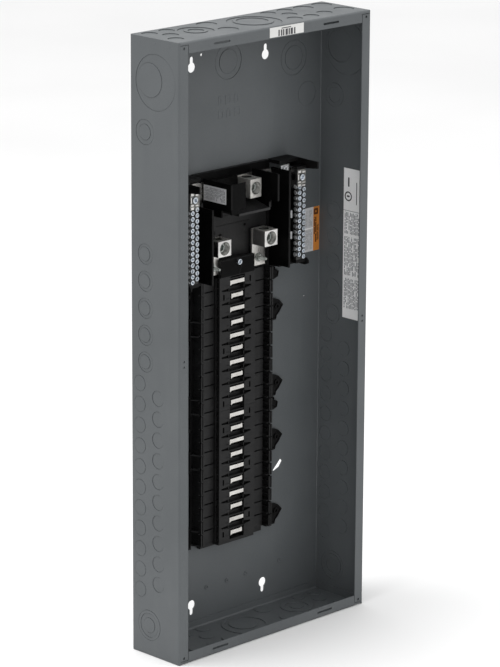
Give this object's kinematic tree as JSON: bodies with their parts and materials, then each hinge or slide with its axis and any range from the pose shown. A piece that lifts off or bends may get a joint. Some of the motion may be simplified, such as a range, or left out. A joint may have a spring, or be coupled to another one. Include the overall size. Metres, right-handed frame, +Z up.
{
  "type": "residential load center",
  "caption": "Flush steel load center box, cover off, with a black plug-on breaker base, stab rows, three box lugs and two neutral bars.",
  "frame": {"origin": "centre of the box's rear face, where it meets the wall", "axes": "+Z up, +Y into the wall, +X to the right for a person who faces the panel"},
  "size_m": [0.362, 0.0944, 0.8604],
  "materials": {
    "box_paint": "satin grey baked enamel over folded sheet steel",
    "black_plastic": "black moulded thermoplastic, fine texture",
    "tinned_bus": "dull tin-plated aluminium",
    "lug_aluminium": "extruded and machined aluminium",
    "zinc_screw": "bright zinc-plated steel",
    "label_print": "printed paper label with no readable text"
  },
  "bodies": {
    "panel": {"box_wrap": "box_paint", "box_bottom_end": "box_paint", "box_top_end": "box_paint", "base_module_lower": "black_plastic", "base_module_upper": "black_plastic", "bus_end_cap": "black_plastic", "bus_bar_a": "tinned_bus", "bus_bar_b": "tinned_bus", "lug_base": "black_plastic", "line_a_lug": "lug_aluminium", "line_a_lug_bolt": "zinc_screw", "line_b_lug": "lug_aluminium", "line_b_lug_bolt": "zinc_screw", "neutral_lug": "lug_aluminium", "neutral_lug_bolt": "zinc_screw", "stud_a": "zinc_screw", "stud_b": "zinc_screw", "interior_screw": "zinc_screw", "neutral_wall_left": "black_plastic", "neutral_wall_right": "black_plastic", "side_barrier_left": "black_plastic", "side_barrier_right": "black_plastic", "neutral_strap": "tinned_bus", "neutral_bar_left": "lug_aluminium", "strap_screw_left": "zinc_screw", "bar_holder_upper_left": "black_plastic", "bar_holder_lower_left": "black_plastic", "neutral_bar_right": "lug_aluminium", "strap_screw_right": "zinc_screw", "bar_holder_upper_right": "black_plastic", "bar_holder_lower_right": "black_plastic", "wiring_label": "label_print", "side_label": "label_print", "lug_label": "label_print", "rating_sticker": "label_print"},
    "line_a_screw": {"line_a_lug_screw": "zinc_screw"},
    "line_b_screw": {"line_b_lug_screw": "zinc_screw"},
    "neutral_screw": {"neutral_lug_screw": "zinc_screw"},
    "terminal_screw_left": {"bar_terminal_screw_left": "zinc_screw"},
    "terminal_screw_right": {"bar_terminal_screw_right": "zinc_screw"}
  },
  "joints": [
    {"name": "line_a_screw_travel", "type": "slide", "parent": "panel", "child": "line_a_screw", "axis": [0, 1, 0], "range_m": [-0.007, 0.0035]},
    {"name": "line_b_screw_travel", "type": "slide", "parent": "panel", "child": "line_b_screw", "axis": [0, 1, 0], "range_m": [-0.007, 0.0035]},
    {"name": "neutral_screw_travel", "type": "slide", "parent": "panel", "child": "neutral_screw", "axis": [0, 1, 0], "range_m": [-0.007, 0.005]},
    {"name": "terminal_screw_left_travel", "type": "slide", "parent": "panel", "child": "terminal_screw_left", "axis": [0, 1, 0], "range_m": [-0.002, 0.004]},
    {"name": "terminal_screw_right_travel", "type": "slide", "parent": "panel", "child": "terminal_screw_right", "axis": [0, 1, 0], "range_m": [-0.002, 0.004]}
  ]
}
